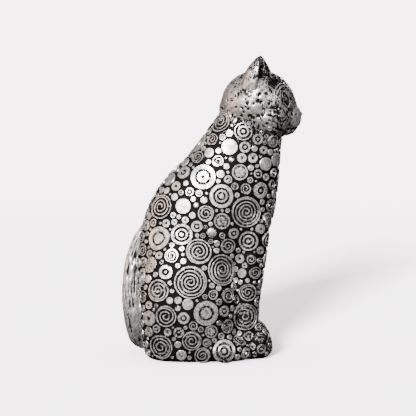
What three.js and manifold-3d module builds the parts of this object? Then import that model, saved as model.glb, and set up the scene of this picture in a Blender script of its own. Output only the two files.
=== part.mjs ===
// Seated cat figurine: a drain-cast ceramic torso and head, with a foot slab, ears, haunches, front legs
// and tail luted on, clay sprigs (spirals, targets, eyes and plain discs) laid all over, and felt pads underneath.
// Millimetres, +Z up. The cat looks along +X and its right flank faces -Y. The origin is the middle of
// the footprint, on the table. Every luted joint keeps LUTE_GAP, the film of slip that holds it.
import * as THREE from "three";
import { mergeVertices } from "three/addons/utils/BufferGeometryUtils.js";
import Module from "manifold-3d";

const wasm = await Module();
wasm.setup();

// Driving dimensions
const HEIGHT = 240; // table to ear tips
const LENGTH = 143; // back of the tail to the nose
const WIDTH = 88; // across the haunches
const WALL = 5; // thickness of the drain-cast shells
const SLAB = 5; // thickness of the foot slab
const DRAIN_HOLE = 26; // diameter of the hole in the foot slab
const LUTE_GAP = 0.3; // film of slip between luted pieces
const RELIEF = 1.6; // how far a sprig stands above the clay
const TAIL_THICKNESS = 18; // at its thickest
const EAR_WALL = 3.2; // clay left round the hollow of an ear
const PAD_DIAMETER = 12;
const PAD_THICKNESS = 1.2;

// The forms are drawn for a cat of this height, length and width, and follow the three overall sizes.
const DRAWN = { height: 240, length: 143, width: 88 };
const ALONG = LENGTH / DRAWN.length;
const ASIDE = WIDTH / DRAWN.width;
const UPWARD = HEIGHT / DRAWN.height;
const SPRIG_SCALE = Math.min(ALONG, UPWARD); // sprigs lie side by side, so the tighter size sets them

const FOOT = PAD_THICKNESS + LUTE_GAP; // height of the flat foot above the table
const NECK_JOINT = 170 * UPWARD; // where the head is luted to the torso
const RIGHT = -1;
const LEFT = 1;

// ---- solids -------------------------------------------------------------------------------------

function solidOf(geometry) {
  const bare = geometry.clone();
  bare.deleteAttribute("normal");
  bare.deleteAttribute("uv");
  const merged = mergeVertices(bare, 1e-4);
  const vertProperties = merged.attributes.position.array;
  const triVerts = new Uint32Array(merged.index.array);
  return new wasm.Manifold(new wasm.Mesh({ numProp: 3, vertProperties, triVerts }));
}

function geometryOf(solid) {
  const mesh = solid.getMesh();
  const geometry = new THREE.BufferGeometry();
  geometry.setAttribute("position", new THREE.BufferAttribute(mesh.vertProperties, 3));
  geometry.setIndex(new THREE.BufferAttribute(mesh.triVerts, 1));
  geometry.computeVertexNormals();
  return geometry;
}

// Moves every vertex of a closed geometry to where place() puts it.
function reshape(geometry, place) {
  const at = geometry.attributes.position;
  const point = new THREE.Vector3();
  for (let i = 0; i < at.count; i++) {
    point.fromBufferAttribute(at, i);
    const moved = place(point);
    at.setXYZ(i, moved.x, moved.y, moved.z);
  }
  return solidOf(geometry);
}

function union(solids) {
  return solids.reduce((all, one) => all.add(one));
}

// Half of space, as a large box: everything above, or below, a height.
const FAR = 600;
function above(height) {
  return solidOf(new THREE.BoxGeometry(FAR, FAR, FAR).translate(0, 0, height + FAR / 2));
}
function below(height) {
  return solidOf(new THREE.BoxGeometry(FAR, FAR, FAR).translate(0, 0, height - FAR / 2));
}
function beside(side) {
  return solidOf(new THREE.BoxGeometry(FAR, FAR, FAR).translate(0, side * (FAR + LUTE_GAP) / 2, 0));
}

// ---- drawn shapes -------------------------------------------------------------------------------

// A smooth line through [height, value] knots, read at any height between them.
function lineThrough(knots) {
  const slope = (i) => {
    const before = knots[Math.max(i - 1, 0)];
    const after = knots[Math.min(i + 1, knots.length - 1)];
    return (after[1] - before[1]) / (after[0] - before[0]);
  };
  return (height) => {
    const first = knots.findLastIndex(([h]) => h <= height);
    const i = Math.min(Math.max(first, 0), knots.length - 2);
    const [h0, v0] = knots[i];
    const [h1, v1] = knots[i + 1];
    const run = h1 - h0;
    const t = Math.min(Math.max((height - h0) / run, 0), 1);
    const rise = THREE.MathUtils.lerp(v0, v1, t * t * (3 - 2 * t));
    return rise + run * t * (1 - t) * ((1 - t) * slope(i) - t * slope(i + 1));
  };
}

// An ellipsoid at a drawn place, with drawn radii, grown on all sides.
function ball([x, y, z], [rx, ry, rz], grow, around = 24, up = 16) {
  const sphere = new THREE.SphereGeometry(1, around, up).rotateX(Math.PI / 2);
  return reshape(sphere, (p) => new THREE.Vector3(
    x * ALONG + p.x * (rx * ALONG + grow),
    y * ASIDE + p.y * (ry * ASIDE + grow),
    z * UPWARD + p.z * (rz * UPWARD + grow),
  ));
}

// A column of rounded slices. Each drawn height has a back, a front and a half-width.
const FULLNESS = 2.25; // exponent of the slices' outline: 2 is an ellipse
function column(shape, grow) {
  const { bottom, top, back, front, half, middle = 0, sides = 24, rings = 10 } = shape;
  const drum = new THREE.CylinderGeometry(1, 1, 1, sides, rings).rotateX(Math.PI / 2);
  return reshape(drum, (p) => {
    const drawn = THREE.MathUtils.lerp(bottom, top, p.z + 0.5);
    const spread = Math.min(Math.hypot(p.x, p.y), 1);
    const angle = Math.atan2(p.y, p.x);
    const bow = (v) => Math.sign(v) * Math.abs(v) ** (2 / FULLNESS);
    const depth = ((front(drawn) - back(drawn)) / 2) * ALONG + grow;
    const width = half(drawn) * ASIDE + grow;
    const end = Math.sign(p.z) * (Math.abs(p.z) > 0.499 ? grow : 0);
    return new THREE.Vector3(
      ((front(drawn) + back(drawn)) / 2) * ALONG + spread * bow(Math.cos(angle)) * depth,
      middle * ASIDE + spread * bow(Math.sin(angle)) * width,
      drawn * UPWARD + end,
    );
  });
}

// ---- the cat's forms, each grown on all sides by a given amount ----------------------------------

const TORSO = {
  bottom: -2,
  top: 194,
  back: lineThrough([[-2, -48], [8, -52], [25, -56], [45, -58.5], [68, -59.5], [90, -58], [106, -54.5],
    [121, -48.5], [135, -41], [145, -33], [155, -22.5], [168, -11], [182, -1], [194, 8]]),
  front: lineThrough([[-2, 12], [10, 17], [35, 21], [62, 25], [82, 34], [96, 42], [108, 47.5],
    [122, 50.5], [140, 52.5], [170, 54.5], [182, 55], [194, 50]]),
  half: lineThrough([[-2, 24], [10, 27], [40, 29], [75, 30], [105, 30.5], [130, 29], [150, 26],
    [168, 23], [182, 22.5], [194, 20]]),
};
const torsoForm = (grow) => column({ ...TORSO, sides: 32, rings: 20 }, grow);
const torsoCore = column({ ...TORSO, sides: 20, rings: 10 }, -WALL); // the space the slip drained from

const CRANIUM = [[37.5, 0, 202], [29.5, 28, 26.5]];
const headForm = (grow) => union([
  ball(...CRANIUM, grow, 24, 16),
  ball([56.5, 0, 191.5], [14.5, 14.5, 11], grow, 18, 10), // muzzle
  ball([58, 0, 183], [8.5, 9, 6.5], grow, 14, 8), // chin
  ball([43.5, -11.5, 191.5], [19, 16, 15.5], grow, 18, 10), // cheeks
  ball([43.5, 11.5, 191.5], [19, 16, 15.5], grow, 18, 10),
]);

// A leaf that narrows from its root to a rounded tip.
function leaf(root, tip, depth, thickness, grow) {
  const stem = new THREE.CylinderGeometry(1, 1, 1, 16, 7).rotateX(Math.PI / 2);
  const span = new THREE.Vector3().subVectors(tip, root);
  const end = span.clone().normalize().multiplyScalar(grow);
  return reshape(stem, (p) => {
    const t = p.z + 0.5;
    const taper = Math.max(1 - t, 0.006) ** 0.55;
    return new THREE.Vector3()
      .copy(root)
      .addScaledVector(span, t)
      .add(t > 0.99 ? end : new THREE.Vector3())
      .add(new THREE.Vector3(p.x * (depth * taper + grow), p.y * (thickness * taper + grow), 0));
  });
}
const EAR_ROOT = new THREE.Vector3(35.5 * ALONG, 17 * ASIDE, 200 * UPWARD);
const EAR_TIP = new THREE.Vector3(38.5 * ALONG, 22.5 * ASIDE, HEIGHT);
const EAR_DEPTH = 14 * ALONG;
const EAR_THICKNESS = 9.5 * ASIDE;
const onSide = (point, side) => new THREE.Vector3(point.x, side * point.y, point.z);
const earForm = (side, grow) => leaf(
  onSide(EAR_ROOT, side), onSide(EAR_TIP, side), EAR_DEPTH, EAR_THICKNESS, grow);
// The hollow of the ear opens forwards and outwards.
function earHollow(side) {
  const open = new THREE.Vector3(2.5 * EAR_WALL, side * 1.5 * EAR_WALL, -EAR_WALL);
  return leaf(
    onSide(EAR_ROOT, side).add(open), onSide(EAR_TIP, side).add(open),
    EAR_DEPTH - EAR_WALL, EAR_THICKNESS - EAR_WALL, 0);
}

// Thigh, and the hind foot that lies forward along the table.
const haunchForm = (side, grow) => union([
  column({
    bottom: -2, top: 112, middle: side * 20, sides: 24, rings: 12,
    back: lineThrough([[-2, -49], [15, -53], [35, -56], [60, -54.5], [85, -47], [104, -33], [112, -22]]),
    front: lineThrough([[-2, 14], [20, 18.5], [45, 20], [65, 17], [85, 8], [104, -6], [112, -18]]),
    half: lineThrough([[-2, 20.5], [15, 22.5], [45, 23.5], [70, 20.5], [90, 15], [104, 8], [112, 2]]),
  }, grow),
  ball([7, side * 29, 9], [24, 13, 11], grow, 18, 10),
]);

const frontLegForm = (side, grow) => union([
  column({
    bottom: 0, top: 112, middle: side * 13.5, sides: 16, rings: 7,
    back: lineThrough([[0, 18], [60, 18], [112, 24]]),
    front: lineThrough([[0, 34], [20, 36], [50, 38], [72, 41.5], [95, 44.5], [112, 45.5]]),
    half: lineThrough([[0, 11], [40, 11.5], [75, 13], [112, 12.5]]),
  }, grow),
  ball([34, side * 14.5, 9], [14, 12.5, 17], grow, 18, 10), // paw
]);

// Down the spine from the rump, then round the left side along the table.
const TAIL_LINE = new THREE.CatmullRomCurve3([
  [-49, 0, 107], [-57, 0, 93], [-62, 0, 76], [-63.5, 0, 58], [-62.5, 0, 40], [-60, 3, 24],
  [-57, 15, 12.5], [-50, 31, 9.5], [-36, 43, 9], [-18, 47.5, 9], [2, 48, 9], [17, 46.5, 8.5], [29, 41, 8],
].map(([x, y, z]) => new THREE.Vector3(x * ALONG, y * ASIDE, z * UPWARD)));
const TAIL_STEPS = 28;
const TAIL_SIDES = 12;
function tailForm(grow) {
  const rod = new THREE.CylinderGeometry(1, 1, 1, TAIL_SIDES, TAIL_STEPS).rotateX(Math.PI / 2);
  const frames = TAIL_LINE.computeFrenetFrames(TAIL_STEPS);
  return reshape(rod, (p) => {
    const t = THREE.MathUtils.clamp(p.z + 0.5, 0, 1);
    const step = Math.round(t * TAIL_STEPS);
    const thicken = THREE.MathUtils.smoothstep(t, -0.1, 0.35);
    const slim = 1 - 0.25 * THREE.MathUtils.smoothstep(t, 0.55, 1);
    const round = Math.sqrt(Math.max(1 - (Math.max(t - 0.95, 0) / 0.052) ** 2, 0.02)); // blunt tip
    const radius = (TAIL_THICKNESS / 2) * thicken * slim * round + grow;
    return TAIL_LINE.getPointAt(t)
      .addScaledVector(frames.normals[step], p.x * radius)
      .addScaledVector(frames.binormals[step], p.y * radius)
      .addScaledVector(frames.tangents[step], t === 1 ? grow : 0);
  });
}

const wholeForm = (grow) => union([
  torsoForm(grow), headForm(grow), earForm(LEFT, grow), earForm(RIGHT, grow),
  haunchForm(LEFT, grow), haunchForm(RIGHT, grow), frontLegForm(LEFT, grow),
  frontLegForm(RIGHT, grow), tailForm(grow),
]);

// ---- assembly -----------------------------------------------------------------------------------

const figurine = new THREE.Group();
const blackenedSilver = new THREE.MeshStandardMaterial({ color: 0x4b494a, roughness: 0.42, metalness: 0.5 });
const rubbedSilver = new THREE.MeshStandardMaterial({ color: 0x9d9894, roughness: 0.36, metalness: 0.7 });
const brightSilver = new THREE.MeshStandardMaterial({ color: 0xc6c1bc, roughness: 0.3, metalness: 0.85 });
const felt = new THREE.MeshStandardMaterial({ color: 0x1f1f21, roughness: 0.95, metalness: 0 });

function addPiece(name, solid, material) {
  const mesh = new THREE.Mesh(geometryOf(solid), material);
  mesh.name = name;
  figurine.add(mesh);
}

const standing = above(FOOT);
const joint = LUTE_GAP;

// Torso: a hollow shell, open at the neck and under it, where a slab with a drain hole closes it.
const SLAB_TOP = FOOT + SLAB;
addPiece("torso_shell", torsoForm(0)
  .subtract(torsoCore)
  .intersect(above(SLAB_TOP + joint))
  .intersect(below(NECK_JOINT)), blackenedSilver);

const TORSO_MIDDLE = -18 * ALONG; // the drain hole sits under the middle of the hollow
const drain = solidOf(new THREE.CylinderGeometry(DRAIN_HOLE / 2, DRAIN_HOLE / 2, 60, 24)
  .rotateX(Math.PI / 2).translate(TORSO_MIDDLE, 0, 0));
addPiece("foot_slab", torsoForm(0)
  .subtract(drain)
  .intersect(standing)
  .intersect(below(SLAB_TOP)), blackenedSilver);

// Head: a hollow shell that carries on the neck, open downwards into the torso.
addPiece("head_shell", headForm(0)
  .add(torsoForm(0))
  .subtract(ball(...CRANIUM, -WALL, 16, 10).add(torsoCore))
  .intersect(above(NECK_JOINT + joint)), rubbedSilver);

const underEar = headForm(joint).add(torsoForm(joint));
for (const [word, side] of [["left", LEFT], ["right", RIGHT]]) {
  addPiece(`ear_${word}`, earForm(side, 0)
    .subtract(earHollow(side))
    .subtract(underEar), rubbedSilver);
  addPiece(`haunch_${word}`, haunchForm(side, 0)
    .subtract(torsoForm(joint))
    .intersect(standing)
    .intersect(beside(side)), blackenedSilver);
  addPiece(`front_leg_${word}`, frontLegForm(side, 0)
    .subtract(torsoForm(joint))
    .subtract(haunchForm(side, joint))
    .intersect(standing)
    .intersect(beside(side)), blackenedSilver);
}

addPiece("tail", tailForm(0)
  .subtract(torsoForm(joint))
  .subtract(haunchForm(LEFT, joint))
  .subtract(haunchForm(RIGHT, joint))
  .subtract(frontLegForm(LEFT, joint))
  .intersect(standing), rubbedSilver);

// Felt pads: one under each front paw, and one under each side of the rump.
for (const [word, side] of [["left", LEFT], ["right", RIGHT]]) {
  for (const [place, x, y] of [["front", 33, 13.5], ["rear", -32, 18]]) {
    const disc = new THREE.CylinderGeometry(PAD_DIAMETER / 2, PAD_DIAMETER / 2, PAD_THICKNESS, 16)
      .rotateX(Math.PI / 2)
      .translate(x * ALONG, side * y * ASIDE, PAD_THICKNESS / 2);
    addPiece(`felt_pad_${place}_${word}`, solidOf(disc), felt);
  }
}

// ---- sprigs -------------------------------------------------------------------------------------
// A sprig is the part of the clay's skin, RELIEF thick, that a round cutter takes when it comes
// straight down on the form. Sprigs that crowd each other give way in the order they are laid.

const skinInside = wholeForm(joint);
const skin = wholeForm(joint + RELIEF).subtract(skinInside).intersect(above(FOOT + joint));
const target = new THREE.Mesh(geometryOf(skinInside), new THREE.MeshBasicMaterial());
const caster = new THREE.Raycaster();

// Where a straight line from one side first meets the clay. `across` is along the body from the
// flanks, and to the cat's left from the back and the front.
const VIEWS = {
  right: { from: (a, u) => new THREE.Vector3(a * ALONG, -FAR, u * UPWARD), towards: new THREE.Vector3(0, 1, 0) },
  left: { from: (a, u) => new THREE.Vector3(a * ALONG, FAR, u * UPWARD), towards: new THREE.Vector3(0, -1, 0) },
  back: { from: (a, u) => new THREE.Vector3(-FAR, a * ASIDE, u * UPWARD), towards: new THREE.Vector3(1, 0, 0) },
  front: { from: (a, u) => new THREE.Vector3(FAR, a * ASIDE, u * UPWARD), towards: new THREE.Vector3(-1, 0, 0) },
};
function hit(view, across, up) {
  caster.set(VIEWS[view].from(across, up), VIEWS[view].towards);
  return caster.intersectObject(target)[0];
}

// The landing point and the way the clay faces there, averaged over the sprig's own footprint.
function landing(view, across, up, radius) {
  const centre = hit(view, across, up);
  const reach = 0.55 * radius;
  const [a, b, c, d] = [[reach, 0], [-reach, 0], [0, reach], [0, -reach]]
    .map(([da, du]) => hit(view, across + da, up + du)?.point ?? centre.point);
  const normal = new THREE.Vector3().crossVectors(a.clone().sub(b), c.clone().sub(d)).normalize();
  if (normal.dot(VIEWS[view].towards) > 0) normal.negate();
  return { point: centre.point, normal };
}

const CUTTER_SIDES = 14;
function cutter(place, radius, grow) {
  const depth = RELIEF + 2 + (radius * radius) / 30; // deep enough for the form's curve
  const spread = radius + grow;
  const turn = new THREE.Quaternion().setFromUnitVectors(new THREE.Vector3(0, 1, 0), place.normal);
  return solidOf(new THREE.CylinderGeometry(spread, spread, 2 * depth, CUTTER_SIDES)
    .applyQuaternion(turn)
    .translate(place.point.x, place.point.y, place.point.z));
}

// [kind, across, up, radius], largest first on each side, in drawn millimetres.
const SPRIGS = {
  right: [
    ["spiral", -16, 64.5, 12.8], ["spiral", 8.5, 72.5, 12.1], ["spiral", 27, 118, 12.1],
    ["spiral", 25.5, 35, 10.8], ["spiral", -39, 121, 10.1], ["spiral", -9.5, 87.5, 10.2],
    ["target", -6, 145, 9.9], ["spiral", -39, 13.5, 9.8], ["eye", -40.5, 96, 9.7],
    ["eye", -4, 40.5, 9.7], ["target", 8, 130.5, 9.3], ["target", 10, 10.5, 8.8],
    ["spiral", -41, 57.5, 8.8], ["target", -23, 100, 8.5], ["spiral", -35, 38, 8.5],
    ["target", 29.5, 95, 7.7], ["spiral", -15, 19, 7.7], ["spiral", -7, 6.5, 6.4],
    ["spiral", 29, 54.5, 7], ["disc", 14.5, 168.5, 6.4],
  ],
  left: [
    ["spiral", -15, 66, 12.6], ["spiral", 9, 74, 11.6], ["spiral", 27, 116, 12], ["spiral", -38, 118, 10.4],
    ["eye", -9.5, 90, 10.2], ["spiral", -6, 144, 9.8], ["eye", -6, 40, 10.2], ["spiral", 26, 46, 9.6],
    ["target", 8, 130, 9], ["spiral", -41, 92, 9], ["target", -33, 46, 9.4],
  ],
  back: [["spiral", 0, 128, 8.6], ["target", 0, 150, 7.8]],
  front: [
    ["spiral", 0, 141, 9.6], ["target", 0, 119, 8.4], ["spiral", 14, 80, 8], ["eye", -14, 80, 8],
    ["disc", 0, 159, 5.8],
  ],
};

let taken = null;
for (const [view, list] of Object.entries(SPRIGS)) {
  list.forEach(([kind, across, up, drawnRadius], i) => {
    const radius = drawnRadius * SPRIG_SCALE;
    const place = landing(view, across, up, drawnRadius);
    const laid = skin.intersect(cutter(place, radius, 0));
    const free = taken ? laid.subtract(taken) : laid;
    const name = `${kind}_${view}_${String(i + 1).padStart(2, "0")}`;
    addPiece(name, free, kind === "disc" ? rubbedSilver : brightSilver);
    const room = cutter(place, radius, joint);
    taken = taken ? taken.add(room) : room;
  });
}

// Eyes: almond sprigs on the face, and a small button for the nose.
function almond(name, place, long, high, lean) {
  const up = new THREE.Vector3(Math.sin(lean), 0, Math.cos(lean));
  const along = new THREE.Vector3().crossVectors(up, place.normal).normalize();
  const over = new THREE.Vector3().crossVectors(place.normal, along);
  const bulge = reshape(new THREE.SphereGeometry(1, 14, 8), (p) => new THREE.Vector3()
    .copy(place.point)
    .addScaledVector(along, p.x * long)
    .addScaledVector(over, p.y * high * (1 - 0.55 * p.x * p.x))
    .addScaledVector(place.normal, p.z * RELIEF * 1.2));
  addPiece(name, bulge.subtract(skinInside), blackenedSilver);
}
almond("eye_right", landing("right", 59, 206, 3), 6.4 * SPRIG_SCALE, 4.6 * SPRIG_SCALE, -0.3);
almond("eye_left", landing("left", 59, 206, 3), 6.4 * SPRIG_SCALE, 4.6 * SPRIG_SCALE, -0.3);
almond("nose", landing("front", 0, 194, 2.5), 4 * SPRIG_SCALE, 3 * SPRIG_SCALE, 0);

// The overall box is centred over the origin.
const box = new THREE.Box3().setFromObject(figurine);
figurine.position.set(-(box.min.x + box.max.x) / 2, -(box.min.y + box.max.y) / 2, -box.min.z);
figurine.updateMatrixWorld(true);

export default figurine;
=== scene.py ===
import math
import random

import bmesh
import bpy
import numpy as np
from mathutils import Matrix, Vector, noise
from mathutils.bvhtree import BVHTree
from mathutils.kdtree import KDTree


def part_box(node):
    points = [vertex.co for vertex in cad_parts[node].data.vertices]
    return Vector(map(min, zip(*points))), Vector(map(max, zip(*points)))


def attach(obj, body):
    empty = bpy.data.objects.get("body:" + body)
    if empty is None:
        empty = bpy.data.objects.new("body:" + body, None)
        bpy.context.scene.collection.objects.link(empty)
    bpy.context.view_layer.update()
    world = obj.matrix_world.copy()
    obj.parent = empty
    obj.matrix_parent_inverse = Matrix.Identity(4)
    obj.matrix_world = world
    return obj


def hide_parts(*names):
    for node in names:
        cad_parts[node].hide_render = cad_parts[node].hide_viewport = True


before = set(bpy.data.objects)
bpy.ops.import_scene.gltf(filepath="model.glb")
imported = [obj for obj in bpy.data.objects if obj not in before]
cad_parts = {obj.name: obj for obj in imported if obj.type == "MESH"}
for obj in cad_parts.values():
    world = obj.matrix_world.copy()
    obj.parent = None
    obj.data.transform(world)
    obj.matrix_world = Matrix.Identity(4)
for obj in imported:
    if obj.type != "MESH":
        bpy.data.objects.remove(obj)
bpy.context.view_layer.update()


# ---- Table, backdrop, lights and camera -----------------------------------------------------------
# The figurine stands on a round pale sheet that sweeps up all round it. A softbox at the upper left of
# the camera lights it, and a warm card stands at its left, which the silver picks up along the back.

MM = 0.001
MIDLINE = -5.25 * MM  # the cat's plane of symmetry: the tail's end widens the left side


def finished(name, bm, material, relief_wear_and_shade=None, crisp=None):
    """A mesh object at the origin from a bmesh, keeping how proud each point stands, wear and painted
    shade.
    """
    mesh = bpy.data.meshes.new(name)
    bm.to_mesh(mesh)
    bm.free()
    mesh.shade_smooth()
    if crisp:
        mesh.set_sharp_from_angle(angle=math.radians(crisp))
    if relief_wear_and_shade is not None:
        mesh.attributes.new("relief_wear_and_shade", "FLOAT", "POINT").data.foreach_set("value", relief_wear_and_shade)
    mesh.materials.append(material)
    piece = bpy.data.objects.new(name, mesh)
    bpy.context.collection.objects.link(piece)
    return piece


def new_material(name):
    material = bpy.data.materials.new(name)
    material.use_nodes = True
    nodes = material.node_tree.nodes
    return material, nodes, material.node_tree.links, nodes["Principled BSDF"]


sheet_paper, nodes, links, shader = new_material("pale_sheet")
shader.inputs["Roughness"].default_value = 0.9
shader.inputs["Specular IOR Level"].default_value = 0.1
grain = nodes.new("ShaderNodeTexNoise")
grain.inputs["Scale"].default_value = 3.0
tint = nodes.new("ShaderNodeMix")
tint.data_type = "RGBA"
tint.inputs[6].default_value = (0.80, 0.725, 0.740, 1)
tint.inputs[7].default_value = (0.82, 0.745, 0.760, 1)
place = nodes.new("ShaderNodeTexCoord")
links.new(place.outputs["Object"], grain.inputs["Vector"])
links.new(grain.outputs["Fac"], tint.inputs[0])
# The sheet is lit by the lamps near the cat, and further off it fades into an even glow of its own.
reach = nodes.new("ShaderNodeVectorMath")
reach.operation = "LENGTH"
glow = nodes.new("ShaderNodeMapRange")
glow.interpolation_type = "SMOOTHSTEP"
glow.inputs["From Min"].default_value = 0.7
glow.inputs["From Max"].default_value = 1.9
links.new(place.outputs["Object"], reach.inputs[0])
links.new(reach.outputs["Value"], glow.inputs["Value"])
unlit = nodes.new("ShaderNodeMix")
unlit.data_type = "RGBA"
unlit.inputs[7].default_value = (0, 0, 0, 1)
links.new(glow.outputs["Result"], unlit.inputs[0])
links.new(tint.outputs[2], unlit.inputs[6])
links.new(unlit.outputs[2], shader.inputs["Base Color"])
brightness = nodes.new("ShaderNodeMath")
brightness.operation = "MULTIPLY"
brightness.inputs[1].default_value = 6.0
links.new(glow.outputs["Result"], brightness.inputs[0])
links.new(brightness.outputs[0], shader.inputs["Emission Strength"])
shader.inputs["Emission Color"].default_value = (1.0, 0.895, 0.92, 1)

SWEEP = 2.6  # radius of the sheet's flat part
CURVE = 0.8  # radius of the bend where it turns up
bm = bmesh.new()
outline = [bm.verts.new((0, 0, 0)), bm.verts.new((SWEEP, 0, 0))]
for i in range(1, 13):
    angle = math.radians(7 * i)
    outline.append(bm.verts.new((SWEEP + CURVE * math.sin(angle), 0, CURVE * (1 - math.cos(angle)))))
outline.append(bm.verts.new((SWEEP + 1.0, 0, 3.2)))
runs = [bm.edges.new(pair) for pair in zip(outline, outline[1:])]
bmesh.ops.spin(bm, geom=outline + runs, cent=(0, 0, 0), axis=(0, 0, 1), dvec=(0, 0, 0),
               angle=2 * math.pi, steps=96, use_merge=True, use_duplicate=False)
bmesh.ops.remove_doubles(bm, verts=bm.verts[:], dist=1e-6)
bmesh.ops.recalc_face_normals(bm, faces=bm.faces[:])
bmesh.ops.reverse_faces(bm, faces=bm.faces[:])
backdrop = finished("backdrop", bm, sheet_paper)
backdrop.visible_diffuse = False  # keeps the bright sheet from greying the black, as a sheet far away would
backdrop.visible_glossy = False
backdrop.visible_shadow = False

camera = bpy.data.objects.new("camera", bpy.data.cameras.new("camera"))
camera.data.lens = 130.3
camera.data.sensor_width = 36
camera.data.clip_end = 20
CAMERA_ALONG, CAMERA_AWAY, CAMERA_HEIGHT = -2.85 * MM, 1.2, 0.22
aim = Vector((CAMERA_ALONG, MIDLINE, 118.8 * MM))
camera.location = Vector((CAMERA_ALONG, MIDLINE - CAMERA_AWAY, CAMERA_HEIGHT))
camera.rotation_euler = (aim - camera.location).to_track_quat("-Z", "Y").to_euler()
bpy.context.collection.objects.link(camera)
bpy.context.scene.camera = camera

only_sheet = bpy.data.collections.new("only_sheet")
only_sheet.objects.link(backdrop)
not_sheet = bpy.data.collections.new("not_sheet")
not_sheet.objects.link(backdrop)
not_sheet.collection_objects[0].light_linking.link_state = "EXCLUDE"


def softbox(name, at, size, watts, colour, lit=not_sheet):
    light = bpy.data.lights.new(name, "AREA")
    light.shape = "RECTANGLE"
    light.size, light.size_y = size
    light.energy = watts
    light.color = colour
    lamp = bpy.data.objects.new(name, light)
    lamp.location = at
    lamp.rotation_euler = (aim - lamp.location).to_track_quat("-Z", "Y").to_euler()
    lamp.light_linking.receiver_collection = lit
    bpy.context.collection.objects.link(lamp)


softbox("key_softbox", Vector((-0.50, -1.25, 0.86)), (0.30, 0.36), 84, (1.0, 0.985, 0.97))
softbox("right_softbox", Vector((1.0, -1.2, 0.7)), (0.4, 0.4), 9, (0.98, 0.985, 1.0))
softbox("warm_card", Vector((-1.38, -0.15, 0.48)), (0.7, 1.0), 10, (1.0, 0.68, 0.47))
softbox("rear_softbox", Vector((0.35, 1.5, 0.75)), (0.7, 0.5), 34, (1.0, 0.99, 0.98))
softbox("overhead", Vector((0.0, -0.1, 1.7)), (1.4, 1.4), 12, (1.0, 1.0, 1.0))


def sheet_sun(name, come_from, strength, softness):
    """A far lamp that lights only the sheet, and so doesn't grey the black on the cat."""
    light = bpy.data.lights.new(name, "SUN")
    light.energy = strength
    light.angle = math.radians(softness)
    lamp = bpy.data.objects.new(name, light)
    lamp.rotation_euler = (-come_from).to_track_quat("-Z", "Y").to_euler()
    lamp.light_linking.receiver_collection = only_sheet
    bpy.context.collection.objects.link(lamp)


sheet_sun("sheet_key", Vector((-0.36, -1.345, 0.38)), 50, 11)
sheet_sun("sheet_sky", Vector((0, 0, 1)), 7.0, 150)
world = bpy.data.worlds.new("studio")
world.use_nodes = True
world.node_tree.nodes["Background"].inputs["Color"].default_value = (0.95, 0.94, 0.94, 1)
world.node_tree.nodes["Background"].inputs["Strength"].default_value = 0.19
bpy.context.scene.world = world


# ---- Torso, haunches and front legs ----------------------------------------------------------------
# The torso is drain-cast and hollow. The haunches and legs are modelled, luted on with slip, and the
# seams are wiped away, so the clay runs as one skin. It is painted black before the silver is rubbed on.

SILVER, DULL_SILVER, GREY_SILVER = (0.79, 0.77, 0.75), (0.29, 0.278, 0.27), (0.3, 0.29, 0.28)
BLACK = (0.0009, 0.0009, 0.001)
BLACK_ROUGHNESS, SILVER_ROUGHNESS = 0.62, 0.36


def silver_over_black(name, lift, spread, silver, shade, speckle, grit, drag=(1, 1, 1)):
    """Silver wax rubbed over black: it takes on what stands proud, and misses what lies low."""
    material, nodes, links, shader = new_material(name)
    place = nodes.new("ShaderNodeTexCoord")
    # The attribute is how far each point stands proud, with wear worked in, and painted shade too on the
    # head and the sprigs.
    proud = nodes.new("ShaderNodeAttribute")
    proud.attribute_name = "relief_wear_and_shade"

    def clouds(scale, detail, roughness=0.6, stretch=(1, 1, 1)):
        cloud = nodes.new("ShaderNodeTexNoise")
        cloud.inputs["Scale"].default_value = scale
        cloud.inputs["Detail"].default_value = detail
        cloud.inputs["Roughness"].default_value = roughness
        stretched = nodes.new("ShaderNodeMapping")
        stretched.inputs["Scale"].default_value = stretch
        stretched.inputs["Rotation"].default_value = (0, math.radians(35), 0)
        links.new(place.outputs["Object"], stretched.inputs["Vector"])
        links.new(stretched.outputs["Vector"], cloud.inputs["Vector"])
        return cloud.outputs["Fac"]

    def maths(operation, a, b=None, c=None):
        node = nodes.new("ShaderNodeMath")
        node.operation = operation
        for socket, value in zip(node.inputs, (a, b, c)):
            if isinstance(value, (int, float)):
                socket.default_value = value
            elif value is not None:
                links.new(value, socket)
        return node.outputs[0]

    def ranged(value, low, high, to_low, to_high):
        node = nodes.new("ShaderNodeMapRange")
        node.interpolation_type = "SMOOTHSTEP"
        sockets = ("From Min", "From Max", "To Min", "To Max")
        for socket, number in zip(sockets, (low, high, to_low, to_high)):
            node.inputs[socket].default_value = number
        links.new(value, node.inputs["Value"])
        return node.outputs["Result"]

    def mixed(factor, a, b):
        node = nodes.new("ShaderNodeMix")
        node.data_type = "RGBA"
        links.new(factor, node.inputs[0])
        for socket, value in zip((node.inputs[6], node.inputs[7]), (a, b)):
            if isinstance(value, tuple):
                socket.default_value = (*value, 1)
            else:
                links.new(value, socket)
        return node.outputs[2]

    fine = clouds(grit, 5, stretch=drag)
    broad = clouds(60, 4)
    uneven = maths("MULTIPLY_ADD", fine, 3 * speckle, -1.5 * speckle)
    patchy = maths("MULTIPLY_ADD", broad, 0.9, -0.45)
    height = maths("ADD", maths("ADD", proud.outputs["Fac"], uneven), patchy)
    rubbed = ranged(height, lift - spread, lift + spread, 0.0, 1.0)
    tone = mixed(ranged(clouds(420, 6, 0.7), 0.42, 0.62, 0.0, 1.0), silver, shade)
    links.new(mixed(rubbed, BLACK, tone), shader.inputs["Base Color"])
    links.new(ranged(rubbed, 0.0, 1.0, 0.0, 0.92), shader.inputs["Metallic"])
    shader.inputs["Specular IOR Level"].default_value = 0.07
    roughness = ranged(rubbed, 0.0, 1.0, BLACK_ROUGHNESS, SILVER_ROUGHNESS)
    links.new(roughness, shader.inputs["Roughness"])
    bump = nodes.new("ShaderNodeBump")
    bump.inputs["Strength"].default_value = 0.35
    bump.inputs["Distance"].default_value = 0.0003
    links.new(clouds(1400, 4), bump.inputs["Height"])
    links.new(bump.outputs["Normal"], shader.inputs["Normal"])
    return material


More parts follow.
